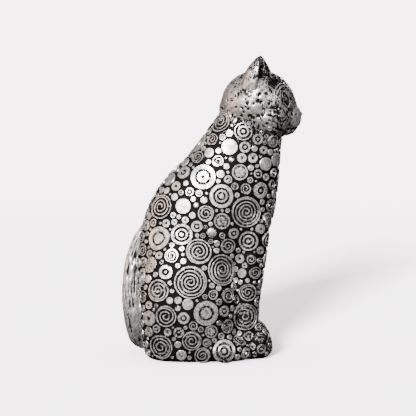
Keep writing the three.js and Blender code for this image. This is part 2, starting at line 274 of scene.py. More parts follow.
black_ground = silver_over_black("black_ground", 0.95, 0.22, DULL_SILVER, GREY_SILVER, 0.5, 900)
BODY = ["torso_shell", "foot_slab", "haunch_left", "haunch_right", "front_leg_left", "front_leg_right"]
NECK = 170.15 * MM  # height of the joint between the torso and the head
SWELL = 0.35 * MM  # the clay is let out by this first, because wiping draws it in


def wet_clay(names, voxel, passes):
    """One closed skin over the named pieces, as it is when their seams have been wiped smooth."""
    bm = bmesh.new()
    for name in names:
        bm.from_mesh(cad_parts[name].data)
    bmesh.ops.remove_doubles(bm, verts=bm.verts[:], dist=1e-6)
    bm.normal_update()
    for v in bm.verts:
        v.co += v.normal * SWELL
    mesh = bpy.data.meshes.new("wet_clay")
    bm.to_mesh(mesh)
    bm.free()
    lump = bpy.data.objects.new("wet_clay", mesh)
    bpy.context.collection.objects.link(lump)
    joined = lump.modifiers.new("joined", "REMESH")
    joined.mode = "VOXEL"
    joined.voxel_size = voxel
    wiped = lump.modifiers.new("wiped", "SMOOTH")
    wiped.factor = 0.5
    wiped.iterations = passes
    skin = bpy.data.meshes.new_from_object(lump.evaluated_get(bpy.context.evaluated_depsgraph_get()))
    bpy.data.objects.remove(lump)
    bm = bmesh.new()
    bm.from_mesh(skin)
    return bm


def cut_at_neck(bm, keep_below):
    """Cuts a hollow skin across at the neck joint, and closes the wall's cut rim."""
    side = dict(clear_outer=True) if keep_below else dict(clear_inner=True)
    bmesh.ops.bisect_plane(bm, geom=bm.verts[:] + bm.edges[:] + bm.faces[:], dist=1e-7,
                           plane_co=(0, 0, NECK), plane_no=(0, 0, 1), **side)
    rims = [e for e in bm.edges if e.is_boundary]
    bmesh.ops.bridge_loops(bm, edges=rims)
    bmesh.ops.recalc_face_normals(bm, faces=bm.faces[:])


whole = wet_clay(BODY + ["head_shell"], voxel=1.5 * MM, passes=26)
clay = BVHTree.FromBMesh(whole)
open_clay = whole.copy()
cut_at_neck(whole, keep_below=True)
body = finished("body", whole, black_ground)
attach(body, "root")
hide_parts(*BODY)


# ---- Head ------------------------------------------------------------------------------------------
# The head is cast with its neck and luted to the torso. The face is worked by hand while the clay is
# leather-hard: eye hollows, muzzle, mouth, and the pits and scratches that hold the black.

SIDES = {"right": -1, "left": 1}
NAPE_X, NAPE_HEIGHT, THROAT_FALL = 6 * MM, 188.3 * MM, 0.30  # the edge between sprigs and bare head


def ramp(value, start, end):
    """Goes evenly from 0 at the start to 1 at the end, and stays level on either side."""
    return min(max((value - start) / (end - start), 0), 1)


def across(side, distance):
    """How far along Y a point lies that is `distance` from the midline on one side."""
    return MIDLINE + SIDES[side] * distance


def sprig_line(x):
    """The height where the sprigs stop and the bare head begins: it falls from the nape to the throat."""
    return NAPE_HEIGHT - THROAT_FALL * (x - NAPE_X)


def worked(bm, marks, proud):
    """Presses the clay in, or draws it out, at each mark of (centre, radius, depth, black it holds)."""
    tree = KDTree(len(bm.verts))
    for v in bm.verts:
        tree.insert(v.co, v.index)
    tree.balance()
    bm.verts.ensure_lookup_table()
    moves = {}
    for centre, radius, depth, dark in marks:
        for _, i, away in tree.find_range(centre, radius):
            fall = (1 - (away / radius) ** 2) ** 2
            moves[i] = moves.get(i, 0) - depth * fall
            proud[i] = min(proud[i], 1 - dark * min(1, 1.8 * fall))
    for i, move in moves.items():
        v = bm.verts[i]
        v.co += v.normal * move


def side_hit(x, z, side, onto):
    """Where a line from one side of the cat meets the clay."""
    start = Vector((x, across(side, 0.3), z))
    point, normal, _, _ = onto.ray_cast(start, Vector((0, -SIDES[side], 0)))
    return (point, normal) if point else (None, None)


head = wet_clay(["head_shell", "torso_shell"], voxel=0.85 * MM, passes=30)
head_clay = BVHTree.FromBMesh(head)
cut_at_neck(head, keep_below=False)
head.verts.ensure_lookup_table()
head.verts.index_update()
head.normal_update()
proud = [1.0] * len(head.verts)

marks = []
for side in SIDES:
    # Eye hollow, the dip beside the bridge of the nose, whisker pad, cheek, and the crown round the ear,
    # as (x, distance from the midline, z, radius, depth) in millimetres. Less than no depth is drawn out.
    for x, aside, z, radius, depth in (
        (58.5, 15.5, 205.5, 9.5, 1.6), (65.5, 7.5, 201.5, 6.0, 0.5), (67.5, 6.5, 188.0, 7.0, -1.2),
        (50.0, 27.0, 190.0, 12.0, -0.3), (36.0, 20.0, 217.0, 17.0, -1.8),
    ):
        middle = Vector((x * MM, across(side, aside * MM), z * MM))
        marks.append((middle, radius * MM, depth * MM, 0.0))
    # The mouth: a drawn line from under the nose back along the jaw.
    for i in range(34):
        t = i / 33
        aside, up = 0.0015 + 0.021 * t ** 0.8, 0.1835 - 0.0035 * math.sin(t * 3.1)
        on_line, _, _, _ = head_clay.find_nearest(Vector((0.0695 - 0.019 * t, across(side, aside), up)))
        marks.append((on_line, 1.7 * MM, 1.0 * MM, 1.0))
# The nape is filled out, and the muzzle stands forward under the bridge of the nose and over the chin.
marks += [
    (Vector((0.0085, MIDLINE, 0.1970)), 10 * MM, -2.0 * MM, 0.0),
    (Vector((0.0680, MIDLINE, 0.1975)), 11 * MM, -1.8 * MM, 0.0),
    (Vector((0.0660, MIDLINE, 0.1850)), 10 * MM, -1.9 * MM, 0.0),
]
# A groove from the nose down to the mouth.
for i in range(8):
    on_line, _, _, _ = head_clay.find_nearest(Vector((0.072, MIDLINE, 0.1900 - 0.001 * i)))
    marks.append((on_line, 1.5 * MM, 0.9 * MM, 1.0))
worked(head, marks, proud)
head.normal_update()

# Pits on the side of the head, as (x, z, size) in millimetres. The left side has the same, moved a little.
PITS = [
    (18.0, 216.0, 0.9), (20.5, 209.5, 1.1), (22.5, 211.5, 1.0), (18.0, 209.0, 0.9), (27.5, 203.0, 1.2),
    (32.5, 202.5, 0.9), (31.0, 211.5, 1.1), (36.5, 215.5, 1.3), (37.5, 210.0, 1.2), (36.0, 205.0, 1.2),
    (38.5, 204.0, 1.0), (16.0, 193.0, 1.2), (23.5, 193.0, 1.1), (30.5, 193.0, 1.1), (36.0, 193.0, 1.2),
    (32.5, 191.5, 1.0), (26.0, 189.0, 1.0), (32.5, 187.5, 1.0), (21.0, 187.5, 0.9), (12.0, 205.0, 0.9),
    (15.0, 212.0, 0.8), (24.5, 219.0, 1.1), (42.0, 210.5, 1.0), (44.5, 202.5, 1.1), (40.5, 198.5, 1.0),
    (24.0, 198.5, 0.8), (46.0, 193.5, 0.9), (51.0, 199.0, 0.9), (43.0, 187.0, 1.0), (48.0, 183.5, 0.9),
]
rng = random.Random(41)
marks = []
for side in SIDES:
    for x, z, size in PITS:
        shift = 0 if side == "right" else 3
        x += rng.uniform(-shift, shift)
        z += rng.uniform(-shift, shift)
        point, _ = side_hit(x * MM, z * MM, side, head_clay)
        if point:
            marks.append((point, size * 1.75 * MM, 1.1 * MM, 1.25))
for _ in range(260):
    # Small pits anywhere on the crown, the brow and the back of the head.
    turn, tilt = rng.uniform(0, 2 * math.pi), rng.uniform(-0.5, 1.2)
    ray = Vector((math.cos(turn) * math.cos(tilt), math.sin(turn) * math.cos(tilt), math.sin(tilt)))
    start = Vector((0.037, MIDLINE, 0.2)) + ray * 0.1
    point, _, _, _ = head_clay.ray_cast(start, -ray)
    if point and point.z > 0.186:
        size = rng.uniform(0.5, 1.2)
        marks.append((point, size * 1.75 * MM, size * 0.8 * MM, 1.15))

SCRATCH = (0.8 * MM, 0.28 * MM, 0.85)  # radius and depth of each press of the point, and its black
PRESSES = 6  # presses along one scratch
for _ in range(260):
    # Scratches on the cheeks and round the eyes, short, most of them running up and back.
    side = rng.choice(list(SIDES))
    x, z = rng.triangular(0.028, 0.066, 0.056), rng.uniform(0.176, 0.224)
    turn, length = rng.gauss(2.2, 0.5), rng.uniform(1.5, 5.0) * MM
    for i in range(PRESSES):
        reach = length * (i / (PRESSES - 1) - 0.5)
        point, _ = side_hit(x + math.cos(turn) * reach, z + math.sin(turn) * reach, side, head_clay)
        if point:
            marks.append((point, *SCRATCH))
for _ in range(220):
    # The same on the forehead, the bridge of the nose and the muzzle, running up and out like fur.
    sideways, z = rng.gauss(0, 0.011), rng.uniform(0.180, 0.228)
    turn, length = math.pi / 2 - 40 * sideways + rng.gauss(0, 0.25), rng.uniform(1.5, 4.5) * MM
    for i in range(PRESSES):
        reach = length * (i / (PRESSES - 1) - 0.5)
        before = Vector((0.2, MIDLINE + sideways + math.cos(turn) * reach, z + math.sin(turn) * reach))
        point, _, _, _ = head_clay.ray_cast(before, Vector((-1, 0, 0)))
        if point:
            marks.append((point, *SCRATCH))
worked(head, marks, proud)

for v in head.verts:
    # The silver is rubbed on from the cheek back. It thins out towards the top of the crown and the
    # hollows round the ear, and the ground under the sprigs stays black. Less silver towards the face is
    # painted shade, for the side of the head that faces away from the key light.
    x, z = v.co.x / MM, v.co.z / MM
    patch = 0.35 * noise.noise(v.co * 120) + 0.5 * noise.noise(v.co * 420) + 0.5 * noise.noise(v.co * 800)
    over = z - sprig_line(v.co.x) / MM + 3.5 * patch
    face = ramp(x + 0.35 * (z - 200) + 9 * patch, 34, 54)
    behind_ear = math.exp(-(((x - 26) / 5) ** 2 + ((z - 213) / 7) ** 2))
    before_ear = math.exp(-(((x - 48) / 6) ** 2 + ((z - 219) / 6) ** 2))
    crown = ramp(z, 212, 226)
    ridge = math.exp(-((v.co.y - MIDLINE) / MM / 6) ** 2) * ramp(z, 207, 216)
    # Only the face's share here is painted shade.
    wear_and_shade = 0.8 - 0.1 * face - 0.12 * crown - 0.25 * ridge
    wear_and_shade -= 0.6 * (behind_ear + before_ear) + 0.4 * max(0, patch - 0.05)
    proud[v.index] = min(proud[v.index], 1) * wear_and_shade * max(ramp(over, 0.5, 8.0), 0.06)
DUSTY_SILVER = (0.64, 0.605, 0.575)
worn_silver = silver_over_black("worn_silver", 0.5, 0.24, DUSTY_SILVER, DULL_SILVER, 1.0, 950, (1, 1, 0.45))
face_clay = BVHTree.FromBMesh(head)
head_piece = finished("head", head, worn_silver, proud)
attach(head_piece, "root")
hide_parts("head_shell")


# ---- Ears ------------------------------------------------------------------------------------------
# Each ear is pinched up from a leaf of clay, hollowed at the front with a fold down the middle of the
# hollow, and luted to the side of the crown.

EAR_DEEP, EAR_THICK = 14.2 * MM, 11.2 * MM  # half its depth and half its thickness at the root
for side, sign in SIDES.items():
    _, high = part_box(f"ear_{side}")
    root = Vector((0.03505, across(side, 0.0125), 0.2))
    tip = Vector((0.03805, across(side, 0.0225), high.z))
    ear = bmesh.new()
    bmesh.ops.create_cone(ear, cap_ends=True, segments=64, radius1=1, radius2=1, depth=1)
    upright = [e for e in ear.edges if abs(e.verts[0].co.z - e.verts[1].co.z) > 0.5]
    bmesh.ops.subdivide_edges(ear, edges=upright, cuts=44, use_grid_fill=True)
    proud = []
    opening = math.atan2(sign * 0.62, 0.78)  # the hollow looks forwards and outwards
    for v in ear.verts:
        t = v.co.z + 0.5
        angle = math.atan2(v.co.y, v.co.x)
        off = (angle - opening + math.pi) % (2 * math.pi) - math.pi
        lip = ramp(abs(off), 1.02, 0.82)
        dish = lip * lip * (3 - 2 * lip) * min(1, (1 - t) * 4.5)
        fold = math.exp(-((off + sign * 0.18) / 0.16) ** 2)
        reach = 1 - dish * (0.72 - 0.42 * fold)
        spread = math.tanh(2.5 * (1 - t)) + 0.06 * min(1, (1 - t) * 40)
        deep, thick = EAR_DEEP * spread, EAR_THICK * spread
        bumpy = 0.25 * MM * noise.noise(Vector((angle * 1.5, t * 9, sign)))
        outwards = Vector((math.cos(angle) * deep * reach, math.sin(angle) * thick * reach, 0))
        v.co = root.lerp(tip, t) + outwards
        v.co += Vector((math.cos(angle), math.sin(angle), 0)) * bumpy * (1 - t)
        speckle = 0.6 * ramp(t + 0.7 * noise.noise(v.co * 260), 0.55, 0.7)
        proud.append(0.84 * (1 - dish * (0.98 - 0.5 * fold)) * (1 - speckle))
    bmesh.ops.recalc_face_normals(ear, faces=ear.faces[:])
    ear_piece = finished(f"ear_of_clay_{side}", ear, worn_silver, proud)
    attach(ear_piece, "root")
    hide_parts(f"ear_{side}")


# ---- Tail ------------------------------------------------------------------------------------------
# The tail is a thick coil of clay laid down the spine and round the left side on the table. Hair is
# drawn along it with a comb, and the silver sits on the ridges.

TAIL_LINE = [
    (-49, 0, 107), (-57, 0, 93), (-62, 0, 76), (-63.5, 0, 58), (-62.5, 0, 40), (-60, 3, 24),
    (-57, 15, 12.5), (-50, 31, 9.5), (-36, 43, 9), (-18, 47.5, 9), (2, 48, 9), (17, 46.5, 8.5), (29, 41, 8),
]
TAIL_RADIUS = 9 * MM
TAIL_SHIFT = Vector((-0.45 * MM, MIDLINE, 0))  # from the line's own zero to the middle of the whole cat


def between(a, b, c, d, t):
    """A point a part t of the way from b to c, on a smooth curve that comes from a and goes on to d."""
    return 0.5 * (2 * b + (c - a) * t + (2 * a - 5 * b + 4 * c - d) * t * t
                  + (3 * b - a - 3 * c + d) * t ** 3)


def smooth_line(points, count):
    """Evenly spaced points on a smooth line through the given ones."""
    knots = [Vector(p) * MM + TAIL_SHIFT for p in points]
    knots = [2 * knots[0] - knots[1], *knots, 2 * knots[-1] - knots[-2]]
    drawn = []
    for a, b, c, d in zip(knots, knots[1:], knots[2:], knots[3:]):
        drawn += [between(a, b, c, d, i / 24) for i in range(24)]
    drawn.append(knots[-2])
    run = [0.0]
    for p, q in zip(drawn, drawn[1:]):
        run.append(run[-1] + (q - p).length)
    spaced, k = [], 0
    for i in range(count):
        want = run[-1] * i / (count - 1)
        while k < len(run) - 2 and run[k + 1] < want:
            k += 1
        spaced.append(drawn[k].lerp(drawn[k + 1], (want - run[k]) / (run[k + 1] - run[k])))
    return spaced


def rolled(sides, stations):
    """A closed rod standing on the origin, one unit high, with a ring of points at each station."""
    rod = bmesh.new()
    bmesh.ops.create_cone(rod, cap_ends=True, segments=sides, radius1=1, radius2=1, depth=1)
    bmesh.ops.translate(rod, verts=rod.verts[:], vec=(0, 0, 0.5))
    lengthways = [e for e in rod.edges if abs(e.verts[0].co.z - e.verts[1].co.z) > 0.5]
    bmesh.ops.subdivide_edges(rod, edges=lengthways, cuts=stations - 2, use_grid_fill=True)
    return rod


def girth(t):
    """The tail's radius a part t of the way along: thin on the spine, thick below, slimmer at its tip."""
    thick = 0.3 + 0.7 * ramp(t, -0.1, 0.35) ** 0.8
    return TAIL_RADIUS * thick * (1 - 0.25 * ramp(t, 0.55, 1.0))


STATIONS = 190
line = smooth_line(TAIL_LINE, STATIONS)
sideways = Vector((0, 1, 0))
frames = []
for i in range(STATIONS):
    ahead = (line[min(i + 1, STATIONS - 1)] - line[max(i - 1, 0)]).normalized()
    sideways = (sideways - ahead * sideways.dot(ahead)).normalized()
    frames.append((line[i], sideways.copy(), ahead.cross(sideways)))
tail = rolled(96, STATIONS)
proud = []
for v in tail.verts:
    t = v.co.z
    i = round(t * (STATIONS - 1))
    point, right, up = frames[i]
    blunt = math.sqrt(max(1 - (max(t - 0.95, 0) / 0.052) ** 2, 0.0))
    around = Vector((v.co.x, v.co.y, 0)) * 3.3
    sway = Vector((0.35 * math.sin(t * 21), 0.35 * math.cos(t * 17), 0))
    strand = 1 - 3.6 * abs(noise.noise(around + sway + Vector((0, 0, t * 13))))
    tuft = noise.noise(around * 0.45 + Vector((4, 7, t * 14)))
    hair = max(-1.0, min(1.0, strand + 0.5 * tuft))
    radius = girth(t) * blunt - 0.55 * MM + 0.6 * MM * hair * blunt
    v.co = point + (right * v.co.x + up * v.co.y) * radius
    v.co.z = max(v.co.z, 1.5 * MM)
    proud.append(0.52 + 0.42 * hair)
bmesh.ops.recalc_face_normals(tail, faces=tail.faces[:])
combed_silver = silver_over_black("combed_silver", 0.5, 0.26, SILVER, DULL_SILVER, 0.6, 420, (1, 1, 0.35))
tail_piece = finished("tail_of_clay", tail, combed_silver, proud)
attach(tail_piece, "root")
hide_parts("tail")


# ---- Sprigs ----------------------------------------------------------------------------------------
# Press-moulded sprigs of clay, stuck on with slip while the body is damp: coiled strings on a thin
# backing, and turned discs, targets and eyes. The silver is rubbed over their tops only.

STAND = 1.5  # how far a large sprig stands above the clay, in millimetres


def thrown(profile, steps):
    """A disc turned to a profile of (radius, height) points in millimetres, from its middle outwards."""
    disc = bmesh.new()
    points = [disc.verts.new((radius, 0, height)) for radius, height in profile]
    points.append(disc.verts.new((profile[-1][0], 0, -0.7)))
    points.append(disc.verts.new((0, 0, -0.7)))
    edges = [disc.edges.new(pair) for pair in zip(points, points[1:])]
    bmesh.ops.spin(disc, geom=points + edges, cent=(0, 0, 0), axis=(0, 0, 1), dvec=(0, 0, 0),
                   angle=2 * math.pi, steps=steps, use_merge=True, use_duplicate=False)
    bmesh.ops.remove_doubles(disc, verts=disc.verts[:], dist=1e-4)
    bmesh.ops.recalc_face_normals(disc, faces=disc.faces[:])
    return disc


def turned(rings, edge, stand):
    """Profile of a disc with raised rings, each (inner, outer) in millimetres, and low ground between."""
    low = 0.1 * stand
    profile = [(0, stand if rings[0][0] == 0 else low)]
    for inner, outer in rings:
        if inner > 0:
            profile += [(inner - 0.06, low), (inner + 0.08, 0.9 * stand)]
        profile += [(max(inner, 0.3 * outer) + 0.12, stand)]
        profile += [(outer - 0.22, stand), (outer - 0.06, 0.8 * stand)]
        if outer < edge - 0.05:
            profile += [(outer + 0.08, low)]
    sunk_rim = rings[-1][1] < edge - 0.05
    return profile + [(edge, low) if sunk_rim else (edge + 0.04, 0.3 * stand)]


def facing(point, normal, radius):
    """The way the clay faces, averaged over a sprig's footprint."""
    around = Vector(normal)
    side = normal.orthogonal().normalized()
    for i in range(8):
        spoke = Matrix.Rotation(i * math.pi / 4, 3, normal) @ side
        hit, near, _, _ = clay.ray_cast(point + spoke * radius * 0.7 + normal * 10 * MM, -normal, 18 * MM)
        if hit is not None and near.dot(normal) > 0.3:
            around += near
    return around.normalized()


class Spot:
    """A place on the clay where one sprig is stuck: its middle, the way the clay faces, and its radius."""

    def __init__(self, point, normal, radius, kind, out=None):
        self.point, self.radius, self.kind = point, radius, kind
        self.normal = out or facing(point, normal, radius)
        self.right = self.normal.cross(Vector((0, 0, 1)))
        if self.right.length < 0.1:
            self.right = self.normal.cross(Vector((1, 0, 0)))
        self.right.normalize()
        self.up = self.right.cross(self.normal)

    def on_clay(self, a, b):
        """The clay under the point a across and b up from the middle, and the way it faces there."""
        flat = self.point + self.right * a + self.up * b
        hit, normal, _, _ = clay.ray_cast(flat + self.normal * 12 * MM, -self.normal, 22 * MM)
        if hit is None or (hit - flat).length > 0.25 * MM + 0.9 * self.radius:
            return flat, self.normal
        return hit, self.normal.lerp(normal, 0.5).normalized()


def pressed_on(disc, spot):
    """Lays a turned disc down on the clay, so that its underside follows the form."""
    proud = []
    top = max(v.co.z for v in disc.verts)
    for v in disc.verts:
        a, b = v.co.x * MM, v.co.y * MM
        base, out = spot.on_clay(a, b)
        proud.append(max(0.0, v.co.z / top))
        v.co = base + out * v.co.z * MM
    return proud


def coiled(spot, pitch, stand, hand, start):
    """A string of clay coiled flat from the middle of a spot to its edge."""
    half = 0.225 * pitch
    inner, outer = 0.25 * pitch, spot.radius / MM - half
    turns = (outer - inner) / pitch + 1  # the last turn closes on itself as a ring
    stations = max(16, int(turns * (13 + outer)))

    def path(t):
        angle = start + hand * 2 * math.pi * turns * t
        reach = min(inner + pitch * turns * t, outer)
        reach += 0.12 * math.sin(3.3 * angle + start)
        return spot.on_clay(math.cos(angle) * reach * MM, math.sin(angle) * reach * MM)

    return string(path, half * MM, stand * MM, stations, blunt=0.4 / turns)


def string(path, half, stand, stations, blunt=0.08):
    """A rolled string of clay pressed down along a path of (point, normal), with tapered ends."""
    rod = rolled(8, stations)
    bmesh.ops.rotate(rod, verts=rod.verts[:], cent=(0, 0, 0), matrix=Matrix.Rotation(math.pi / 8, 3, "Z"))
    laid = [path(i / (stations - 1)) for i in range(stations)]
    proud = []
    for v in rod.verts:
        t = v.co.z
        i = round(t * (stations - 1))
        point, normal = laid[i]
        ahead = laid[min(i + 1, stations - 1)][0] - laid[max(i - 1, 0)][0]
        wide = ahead.cross(normal).normalized()
        slim = min(1, math.sqrt(max(min(t + 0.004, 1.004 - t), 0) / blunt))
        flatter = math.copysign(abs(v.co.x) ** 0.6, v.co.x)
        height = 0.45 + 0.6 * v.co.y
        proud.append(min(max(2.2 * v.co.y - 1.0, 0), 1) * (0.35 + 0.65 * slim))
        wobble = 1 + 0.16 * noise.noise(point * 420)
        v.co = point + wide * flatter * half * slim * wobble + normal * stand * height * (0.4 + 0.6 * slim)
    bmesh.ops.recalc_face_normals(rod, faces=rod.faces[:])
    return rod, proud


class Tray:
    """Sprigs gathered into one piece as they are made."""

    def __init__(self):
        self.bm, self.proud = bmesh.new(), []

    def add(self, shape, proud):
        mesh = bpy.data.meshes.new("shape")
        shape.to_mesh(mesh)
        shape.free()
        self.bm.from_mesh(mesh)
        bpy.data.meshes.remove(mesh)
        self.proud += proud


def face_of(kind, r, stand):
    """The profile of a pressed disc of that kind and radius."""
    groove = 1.7 if r > 5 else 1.2 if r > 3 else 0.8
    if kind == "target":
        rings, at = [(0, 0.2 * r)], 0.2 * r + groove
        if r > 6.4:
            rings.append((at, at + 1.35))
            at += 1.35 + groove
        return turned(rings + [(at, r)], r, stand)
    if kind == "eye":
        return turned([(0, 0.44 * r), (0.44 * r + groove, r)], r, stand)
    if kind == "boss":
        return turned([(0.1 * r, 0.47 * r), (0.47 * r + groove, r)], r, stand)
    if kind == "dotted":
        return turned([(0, 0.27 * r), (0.27 * r + groove, r)], r, stand)
    if kind == "ring":
        return turned([(0.3 * r, r)], r, stand)
    if kind == "rimmed":
        floor = 0.2 * stand
        return [(0, 0.66 * stand), (0.6 * r, 0.6 * stand), (0.68 * r, floor),
                (0.68 * r + 0.4 * groove, floor), (0.8 * r, 0.95 * stand),
                (0.96 * r, stand), (r, 0.5 * stand)]
    if kind == "dome":
        return [(0, 1.15 * stand), (0.4 * r, 1.1 * stand), (0.7 * r, 0.9 * stand),
                (0.9 * r, 0.5 * stand), (r, 0.1)]
    if kind == "bead":
        return [(0, stand), (0.6 * r, 0.95 * stand), (0.9 * r, 0.5 * stand), (r, 0.0)]
    return [(0, stand), (0.55 * r, stand), (r - 0.4, stand), (r - 0.12, 0.85 * stand), (r, 0.3 * stand)]


def rub_with_painted_shade_at(point):
    """How much silver the tops take: less on the back, and painted shade on the chest, paws and low down.
    """
    # The chest, the paws and the lowest part are turned from the key light; their shade is painted into the
    # silver here. The back gets less too.
    paw_shade = ramp(point.x, -0.01, 0.04) * ramp(point.z, 0.055, 0.025)
    chest_shade = ramp(point.x, 0.008, 0.053)
    table_shade = ramp(point.z, 0.075, 0.015)
    towards_back = ramp(point.x, -0.022, -0.042)
    return 0.95 - 0.14 * chest_shade - 0.25 * paw_shade - 0.12 * table_shade - 0.08 * towards_back


def make_sprig(spot, tray, rng):
    """Makes the sprig that belongs at a spot, by its kind."""
    r = spot.radius / MM
    steps = 44 if r > 8 else 32 if r > 5 else 20 if r > 3 else 12
    stand = STAND if r > 5 else 1.25 if r > 2.6 else 0.95
    # Painted shade for where the sprig sits, less a chance amount of wear.
    rub_and_shade = rub_with_painted_shade_at(spot.point) - 0.26 * rng.random() ** 2
    if spot.kind == "spiral":
        pitch = 2.6 if r > 11 else 2.75 if r > 8 else 2.5 if r > 5.5 else 2.1 if r > 3.6 else 0.55 * r
        flat = [(0, 0.3 * stand), (r * 0.6, 0.3 * stand), (r - 0.4, 0.25 * stand), (r, 0.1)]
        backing = thrown(flat, steps)
        tray.add(backing, [0.05 for _ in pressed_on(backing, spot)])
        coil, proud = coiled(spot, pitch, stand, rng.choice((-1, 1)), rng.uniform(0, 6.28))
        tray.add(coil, [p * rub_and_shade for p in proud])
    else:
        disc = thrown(face_of(spot.kind, r, stand), steps)
        tray.add(disc, [p * rub_and_shade for p in pressed_on(disc, spot)])


# The large sprigs and their radii in millimetres.
NAMED = {
    "spiral_right_01": 12.8, "spiral_right_02": 12.1, "spiral_right_03": 12.1, "spiral_right_04": 10.8,
    "spiral_right_05": 10.1, "spiral_right_06": 10.2, "target_right_07": 9.9, "spiral_right_08": 9.8,
    "eye_right_09": 9.7, "eye_right_10": 9.7, "target_right_11": 9.3, "target_right_12": 8.8,
    "spiral_right_13": 8.8, "target_right_14": 8.5, "spiral_right_15": 8.5, "target_right_16": 7.7,
    "spiral_right_17": 7.7, "spiral_right_18": 6.4, "spiral_right_19": 7.0, "disc_right_20": 6.4,
    "spiral_left_01": 12.6, "spiral_left_02": 11.6, "spiral_left_03": 12.0, "spiral_left_04": 10.4,
    "eye_left_05": 10.2, "spiral_left_06": 9.8, "eye_left_07": 10.2, "spiral_left_08": 9.6,
    "target_left_09": 9.0, "spiral_left_10": 9.0, "target_left_11": 9.4,
    "spiral_back_01": 8.6, "target_back_02": 7.8,
    "spiral_front_01": 9.6, "target_front_02": 8.4, "spiral_front_03": 8.0, "eye_front_04": 8.0,
    "disc_front_05": 5.8,
}
UNUSUAL = {"target_right_07": "boss"}
PRESSED_SQUARE = {"spiral_right_02": Vector((0.25, -0.97, 0)).normalized()}  # over the haunch's front edge
sprig_silver = silver_over_black("sprig_silver", 0.5, 0.2, SILVER, DULL_SILVER, 1.1, 800)
rng = random.Random(7)
spots = []
for name, radius in NAMED.items():
    low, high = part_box(name)
    point, normal, _, _ = clay.find_nearest((low + high) / 2)
    kind = UNUSUAL.get(name, name.split("_")[0])
    spot = Spot(point, normal, radius * MM, kind, PRESSED_SQUARE.get(name))
    spots.append(spot)
    tray = Tray()
    make_sprig(spot, tray, rng)
    piece = finished("sprig_" + name, tray.bm, sprig_silver, tray.proud, crisp=26)
    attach(piece, "root")
    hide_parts(name)


# ---- Eyes, brows and nose --------------------------------------------------------------------------
# The eyes are almond leaves of clay with a drawn rim, under two rolled strings for the brow. A loop at
# the eye's corner and a line along the jaw are strings too. The nose is a small wedge luted to the muzzle.


def on_head(x, z, side):
    """The clay of the head under a point seen from one side, and the way it faces."""
    point, normal = side_hit(x * MM, z * MM, side, face_clay)
    if point is None:
        point, normal, _, _ = face_clay.find_nearest(Vector((x * MM, across(side, 0.004), z * MM)))
    return point, normal


def laid_string(points, half, stand, side, stations):
    """A rolled string laid on the head through the given (x, z) points in millimetres."""
    knots = [Vector(p) for p in points]
    knots = [2 * knots[0] - knots[1], *knots, 2 * knots[-1] - knots[-2]]

    def path(t):
        k = min(int(t * (len(points) - 1)), len(points) - 2)
        f = t * (len(points) - 1) - k
        p = between(*knots[k:k + 4], f)
        return on_head(p.x, p.y, side)

    return string(path, half * MM, stand * MM, stations, blunt=0.2)


def under_eye(spot, a, b):
    """The clay under a point of the eye, a across and b up from its middle."""
    flat = spot.point + spot.right * a + spot.up * b
    return face_clay.ray_cast(flat + spot.normal * 9 * MM, -spot.normal)[0] or flat


# Strings on each side of the face, through (x, z) points in millimetres.
BROW = [(49.5, 203.0), (48.2, 209.5), (50.0, 214.5), (53.4, 217.4), (57.5, 216.5), (60.5, 212.4)]
INNER_BROW = [(x + 2.0, z - 1.8) for x, z in BROW[:5]]
EYE_LOOP = [(49.5, 203.4), (51.9, 205.9), (49.5, 208.4), (47.1, 205.9), (49.3, 204.4)]
JAW = [(65.0, 187.0), (62.0, 182.0), (58.0, 178.0), (53.0, 174.5)]

for side in SIDES:
    low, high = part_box(f"eye_{side}")
    middle = (low + high) / 2
    point, normal, _, _ = face_clay.find_nearest(middle)
    normal = (normal + Vector((0.25, 0, 0))).normalized()
    spot = Spot(point, normal, 6 * MM, "eye", out=normal)
    tray = Tray()
    leaf = thrown([(0, 1.0), (0.5, 0.95), (0.8, 0.75), (0.97, 0.45), (1.0, 0.1)], 48)
    proud = []
    for v in leaf.verts:
        reach = math.hypot(v.co.x, v.co.y)
        a = (v.co.x * (1 - 0.35 * v.co.y ** 2) * 3.0 + 1.3 * v.co.y) * MM
        b = v.co.y * 5.6 * MM
        proud.append(0.42 if reach < 0.75 else 0.0)
        v.co = under_eye(spot, a, b) + normal * v.co.z * MM
    tray.add(leaf, proud)

    def rim(t):
        angle = 2 * math.pi * t
        a = (math.cos(angle) * (1 - 0.32 * math.sin(angle) ** 2) * 3.9 + 1.4 * math.sin(angle)) * MM
        b = math.sin(angle) * 6.6 * MM
        return under_eye(spot, a, b), normal

    tray.add(*string(rim, 0.6 * MM, 1.0 * MM, 44, blunt=0.02))
    proud = [0.72 * p for p in tray.proud]
    eye_piece = finished(f"eye_with_rim_{side}", tray.bm, worn_silver, proud, crisp=26)
    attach(eye_piece, "root")
    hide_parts(f"eye_{side}")

    tray = Tray()
    tray.add(*laid_string(BROW, 0.65, 1.1, side, 26))
    tray.add(*laid_string(INNER_BROW, 0.6, 1.0, side, 26))
    tray.add(*laid_string(EYE_LOOP, 0.55, 0.9, side, 22))
    tray.add(*laid_string(JAW, 0.6, 0.8, side, 24))
    proud = [0.85 * p for p in tray.proud]
    brow_piece = finished(f"brow_strings_{side}", tray.bm, sprig_silver, proud, crisp=26)
    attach(brow_piece, "root")

low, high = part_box("nose")
nose = bmesh.new()
bmesh.ops.create_uvsphere(nose, u_segments=40, v_segments=24, radius=1)
tip, _, _, _ = face_clay.ray_cast(Vector((0.2, MIDLINE, (low.z + high.z) / 2)), Vector((-1, 0, 0)))
proud = []
for v in nose.verts:
    front = max(0, v.co.x)
    crease = math.exp(-(v.co.y / 0.13) ** 2) * front
    nostril = sum(math.exp(-((v.co.y - y) ** 2 + (v.co.z + 0.25) ** 2) / 0.06) for y in (-0.52, 0.52))
    nostril *= front
    proud.append(max(0, 0.66 - 0.6 * crease * (v.co.z < 0) - 1.1 * nostril))
    long, wide, tall = 2.4 - 0.5 * nostril, 3.3 + 1.6 * v.co.z, 2.5
    v.co = tip + Vector((v.co.x * long - 1.5, v.co.y * wide, v.co.z * tall)) * MM
nose_piece = finished("nose_wedge", nose, worn_silver, proud)
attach(nose_piece, "root")
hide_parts("nose")

